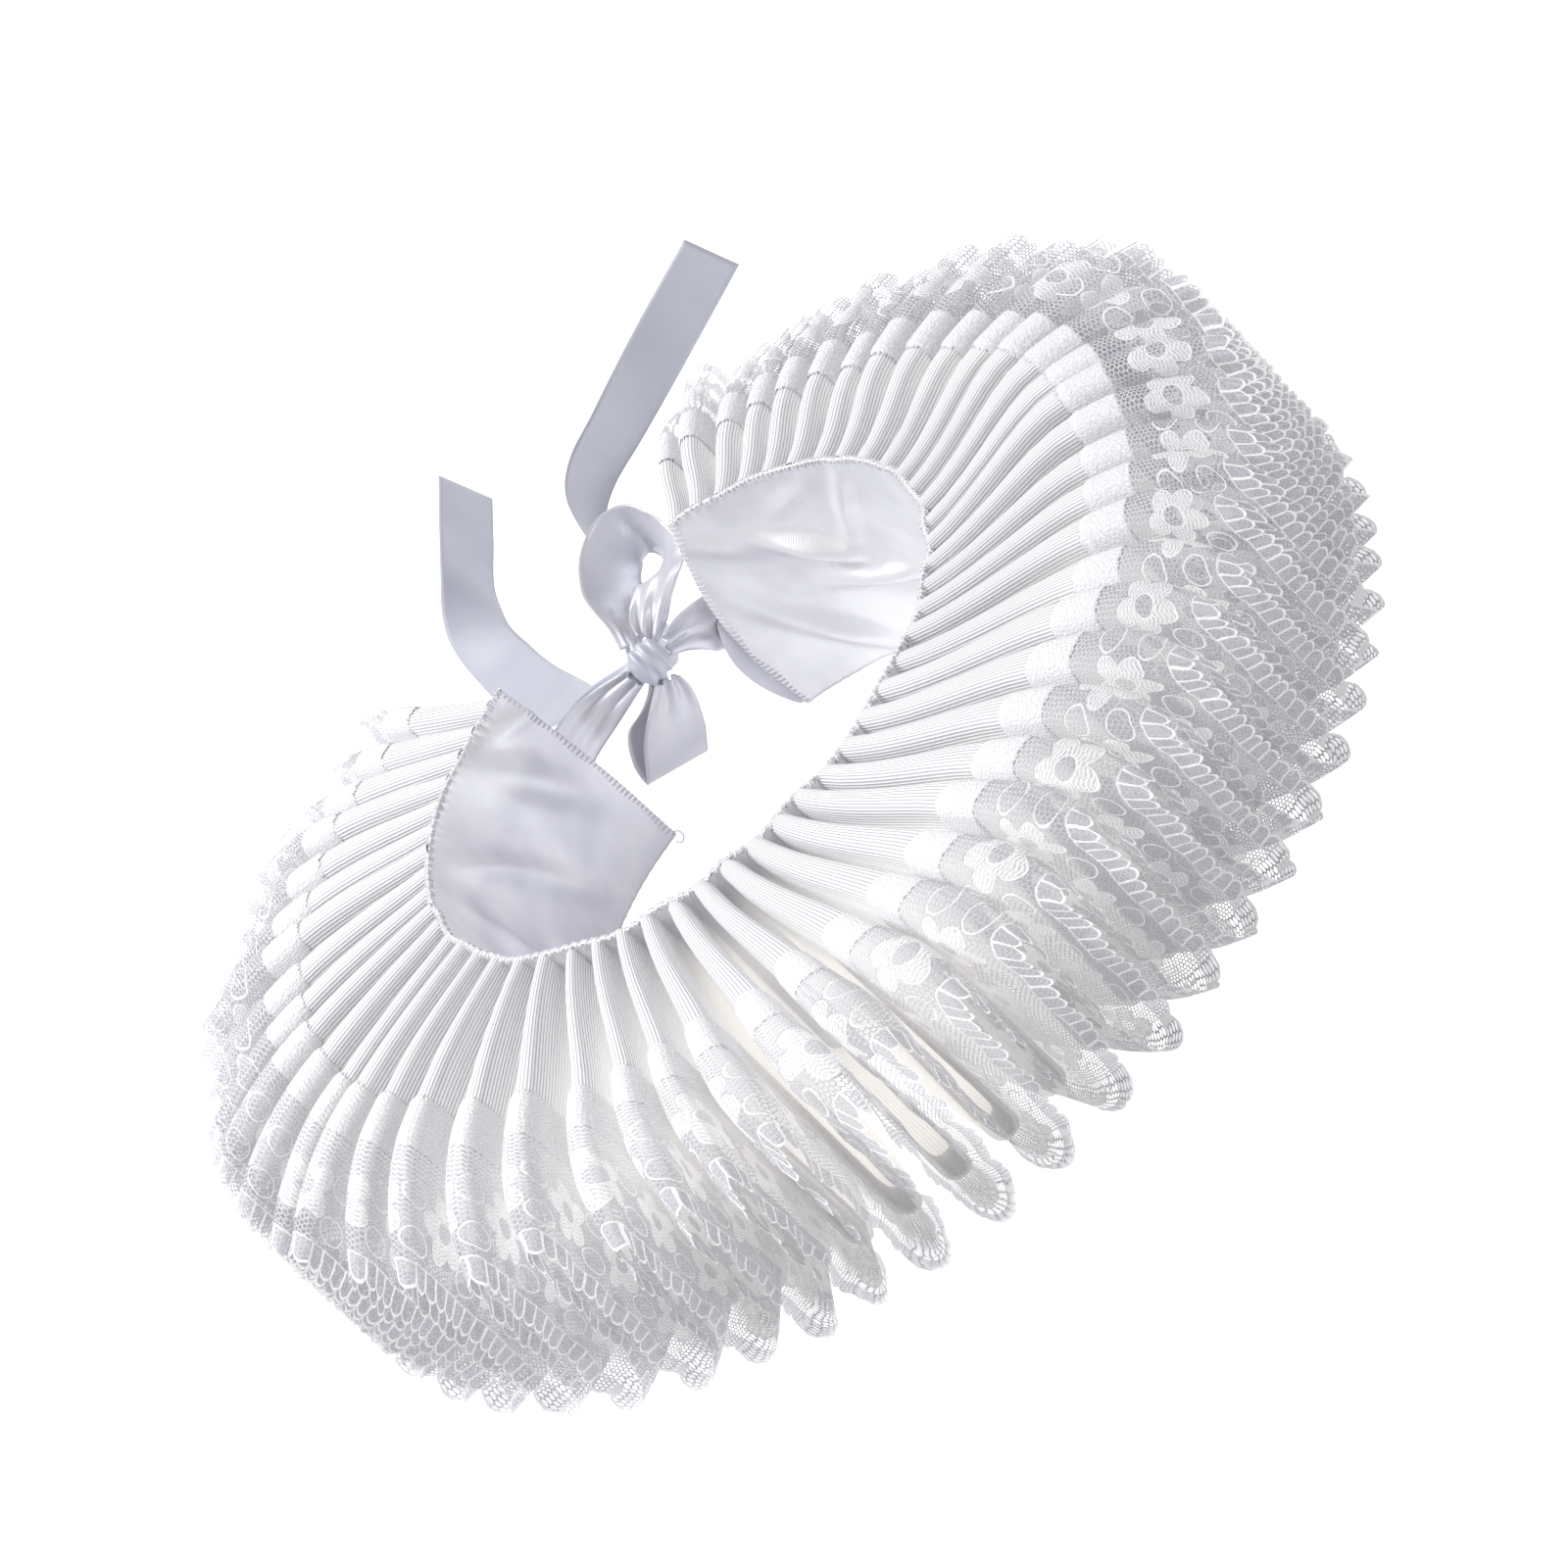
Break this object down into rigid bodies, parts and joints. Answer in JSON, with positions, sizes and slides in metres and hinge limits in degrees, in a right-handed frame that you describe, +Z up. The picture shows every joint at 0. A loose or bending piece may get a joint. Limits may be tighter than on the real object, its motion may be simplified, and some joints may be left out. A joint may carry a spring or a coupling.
{
  "type": "ruff collar",
  "caption": "Round pleated neck ruff of ribbed ribbon edged with scalloped lace, on a satin neckband that closes at the back with ribbon ties in a bow.",
  "frame": {"origin": "middle of the base of the whole piece, ties included, on the surface that it lies on", "axes": "+Z up through the neck hole, +Y towards the open back with its bow and tie ends, +X towards the right pleats as seen from the front"},
  "size_m": [0.2742, 0.401, 0.0652],
  "materials": {
    "satin": "satin",
    "ribbed_ribbon": "matte",
    "lace": "matte"
  },
  "bodies": {
    "root": {"neckband": "satin", "ruff_ribbon": "ribbed_ribbon", "ruff_lace": "lace", "bow_knot": "satin", "bow_loop_upper": "satin", "bow_loop_lower": "satin", "tie_root_left": "satin", "tie_root_right": "satin", "tie_tail_long": "satin", "tie_tail_short": "satin"}
  },
  "joints": []
}
